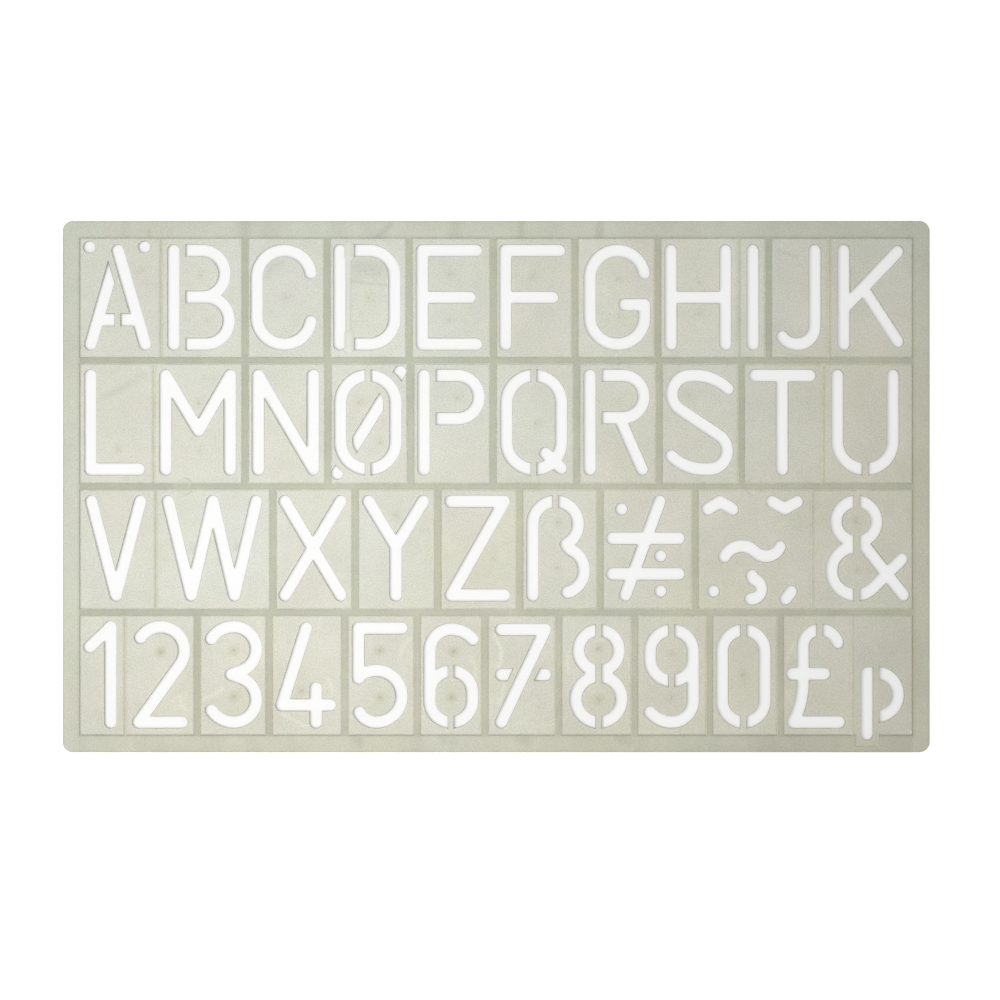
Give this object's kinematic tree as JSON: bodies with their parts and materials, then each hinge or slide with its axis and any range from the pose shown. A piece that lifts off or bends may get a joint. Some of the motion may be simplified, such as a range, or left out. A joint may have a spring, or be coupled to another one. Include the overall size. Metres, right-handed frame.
{
  "type": "lettering stencil",
  "caption": "Flat translucent plastic stencil sheet, with a border and ribs round thin panels that are cut through with capital letters, digits, signs and accents to trace.",
  "frame": {"origin": "on the surface that the stencil lies on, below the middle of the sheet", "axes": "+X along the rows of characters to the right, as they are read; +Y up the page; +Z out of the face that is written over"},
  "size_m": [0.246, 0.1508, 0.002],
  "materials": {
    "border_plastic": "satin, slightly translucent grey-green",
    "rib_plastic": "satin, slightly translucent grey-green",
    "panel_plastic": "satin, translucent pale grey-green",
    "bead_plastic": "smooth, translucent pale grey-green"
  },
  "bodies": {
    "root": {"left_border": "border_plastic", "right_border": "border_plastic", "top_border": "border_plastic", "bottom_border": "border_plastic", "upper_row_rib": "rib_plastic", "middle_row_rib": "rib_plastic", "lower_row_rib": "rib_plastic", "column_ribs_row_1": "rib_plastic", "column_ribs_row_2": "rib_plastic", "column_ribs_row_3": "rib_plastic", "column_ribs_row_4": "rib_plastic", "panel_a_umlaut": "panel_plastic", "panel_b": "panel_plastic", "panel_c": "panel_plastic", "panel_d": "panel_plastic", "panel_e": "panel_plastic", "panel_f": "panel_plastic", "panel_g": "panel_plastic", "panel_h": "panel_plastic", "panel_i": "panel_plastic", "panel_j": "panel_plastic", "panel_k": "panel_plastic", "panel_l": "panel_plastic", "panel_m": "panel_plastic", "panel_n": "panel_plastic", "panel_o_slash": "panel_plastic", "panel_p": "panel_plastic", "panel_q": "panel_plastic", "panel_r": "panel_plastic", "panel_s": "panel_plastic", "panel_t": "panel_plastic", "panel_u": "panel_plastic", "panel_v": "panel_plastic", "panel_w": "panel_plastic", "panel_x": "panel_plastic", "panel_y": "panel_plastic", "panel_z": "panel_plastic", "panel_sharp_s": "panel_plastic", "panel_signs": "panel_plastic", "panel_accents": "panel_plastic", "panel_ampersand": "panel_plastic", "panel_1": "panel_plastic", "panel_2": "panel_plastic", "panel_3": "panel_plastic", "panel_4": "panel_plastic", "panel_5": "panel_plastic", "panel_6": "panel_plastic", "panel_7": "panel_plastic", "panel_8": "panel_plastic", "panel_9": "panel_plastic", "panel_0": "panel_plastic", "panel_pound": "panel_plastic", "panel_small_p": "panel_plastic", "d_mended_bead": "bead_plastic"}
  },
  "joints": []
}
